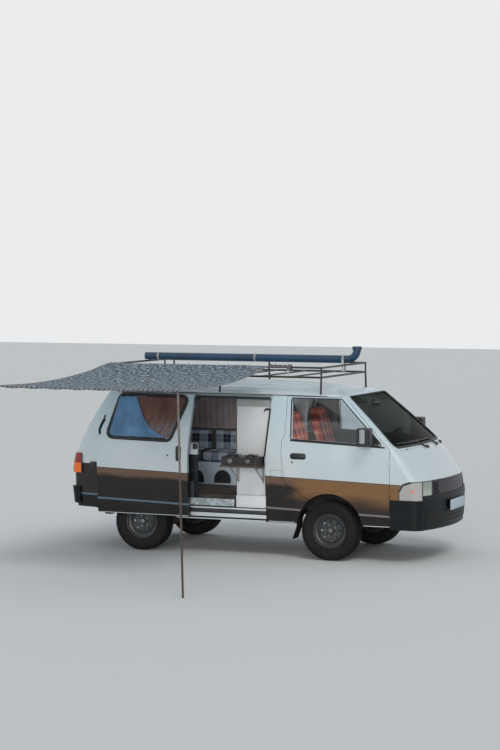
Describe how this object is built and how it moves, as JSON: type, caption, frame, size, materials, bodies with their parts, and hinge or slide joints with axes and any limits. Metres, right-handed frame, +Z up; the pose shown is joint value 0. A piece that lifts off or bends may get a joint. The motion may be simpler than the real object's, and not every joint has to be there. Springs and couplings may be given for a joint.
{
  "type": "camper van",
  "caption": "Small forward-control camper van with its sliding door open, roof rack, water pipe, awning on two poles and fitted living space.",
  "frame": {"origin": "on the ground, under the middle of the whole with its awning out", "axes": "+X forward, +Y to the van's left, +Z up"},
  "size_m": [4.303, 4.6533, 2.2673],
  "materials": {
    "body_paint": "white gloss paint over a bronze lower band, with scuffs",
    "chassis_black": "dusty black underseal",
    "cast_dark": "dusty bare castings",
    "glass": "tinted glass",
    "black_plastic": "weathered black moulding",
    "lamp_clear": "clear ribbed lens",
    "lamp_red": "red over orange lens",
    "tyre": "dusty tread and sidewall",
    "wheel_steel": "dark painted pressed steel",
    "trim_fabric": "red tartan covers with black sides",
    "cushion_fabric": "black, grey and white plaid",
    "curtain_fabric": "dark grey-brown curtain cloth",
    "white_board": "white painted board",
    "shelf_wood": "plywood",
    "stove_black": "black enamel",
    "rack_black": "black painted tube",
    "pipe_blue": "dark blue painted pipe",
    "awning_cloth": "flecked blue-grey print",
    "pole_wood": "brown pole, dark lower half",
    "rubber": "black rubber sheet"
  },
  "bodies": {
    "body": {"awning": "awning_cloth", "awning_poles": "pole_wood", "bench": "white_board", "bench_cushions": "cushion_fabric", "body_glass": "glass", "chassis_frame": "chassis_black", "cupboard": "white_board", "curtain_rod": "rack_black", "curtains": "curtain_fabric", "dashboard": "black_plastic", "engine_block": "cast_dark", "exhaust": "cast_dark", "floor_pan": "chassis_black", "folding_shelf": "shelf_wood", "front_bumper": "black_plastic", "front_suspension": "cast_dark", "fuel_tank": "chassis_black", "grille": "black_plastic", "headlamps": "lamp_clear", "leaf_springs": "cast_dark", "mud_flaps": "rubber", "nose_panel": "body_paint", "rear_axle": "cast_dark", "rear_bumper": "black_plastic", "roof": "body_paint", "roof_pipe": "pipe_blue", "roof_rack": "rack_black", "seat_left": "trim_fabric", "seat_right": "trim_fabric", "side_left": "body_paint", "side_right": "body_paint", "slide_arms": "cast_dark", "slide_rail": "black_plastic", "sliding_door": "body_paint", "sliding_door_glass": "glass", "stove": "stove_black", "tail_lamps": "lamp_red", "tail_panel": "body_paint"},
    "door_right": {"door_right": "body_paint", "door_right_glass": "glass", "mirror_right": "black_plastic"},
    "door_left": {"door_left": "body_paint", "door_left_glass": "glass", "mirror_left": "black_plastic"},
    "tailgate": {"tailgate": "body_paint", "tailgate_glass": "glass"},
    "steering_wheel": {"steering_wheel": "black_plastic"},
    "knuckle_left": {"knuckle_left": "cast_dark"},
    "knuckle_right": {"knuckle_right": "cast_dark"},
    "wheel_front_left": {"tyre_front_left": "tyre", "wheel_front_left": "wheel_steel"},
    "wheel_front_right": {"tyre_front_right": "tyre", "wheel_front_right": "wheel_steel"},
    "wheel_rear_left": {"tyre_rear_left": "tyre", "wheel_rear_left": "wheel_steel"},
    "wheel_rear_right": {"tyre_rear_right": "tyre", "wheel_rear_right": "wheel_steel"}
  },
  "joints": [
    {"name": "door_right_hinge", "type": "hinge", "parent": "body", "child": "door_right", "pos_m": [1.65901, 0.51867, 0.9], "axis": [0, 0, 1], "range_deg": [0, 68]},
    {"name": "door_left_hinge", "type": "hinge", "parent": "body", "child": "door_left", "pos_m": [1.65901, 2.16467, 0.9], "axis": [0, 0, -1], "range_deg": [0, 68]},
    {"name": "tailgate_hinge", "type": "hinge", "parent": "body", "child": "tailgate", "pos_m": [-1.73449, 1.34167, 1.7575], "axis": [0, 1, 0], "range_deg": [0, 75]},
    {"name": "steer_left", "type": "hinge", "parent": "body", "child": "knuckle_left", "pos_m": [0.97152, 1.94167, 0.32], "axis": [0, 0, 1], "range_deg": [-32, 32]},
    {"name": "steer_right", "type": "hinge", "parent": "body", "child": "knuckle_right", "pos_m": [0.97152, 0.74167, 0.32], "axis": [0, 0, 1], "range_deg": [-32, 32]},
    {"name": "steering_wheel_turn", "type": "hinge", "parent": "body", "child": "steering_wheel", "pos_m": [1.30151, 1.72167, 1.18], "axis": [-0.8797, 0, 0.4755], "range_deg": [-448, 448]},
    {"name": "spin_front_left", "type": "hinge", "parent": "knuckle_left", "child": "wheel_front_left", "pos_m": [0.97152, 2.04967, 0.32], "axis": [0, 1, 0], "continuous": true},
    {"name": "spin_front_right", "type": "hinge", "parent": "knuckle_right", "child": "wheel_front_right", "pos_m": [0.97152, 0.63367, 0.32], "axis": [0, 1, 0], "continuous": true},
    {"name": "spin_rear_left", "type": "hinge", "parent": "body", "child": "wheel_rear_left", "pos_m": [-1.26348, 2.04967, 0.32], "axis": [0, 1, 0], "continuous": true},
    {"name": "spin_rear_right", "type": "hinge", "parent": "body", "child": "wheel_rear_right", "pos_m": [-1.26348, 0.63367, 0.32], "axis": [0, 1, 0], "continuous": true}
  ],
  "couplings": [
    {"joint": "steer_right", "follows": "steer_left", "ratio": 1},
    {"joint": "steering_wheel_turn", "follows": "steer_left", "ratio": 14}
  ]
}
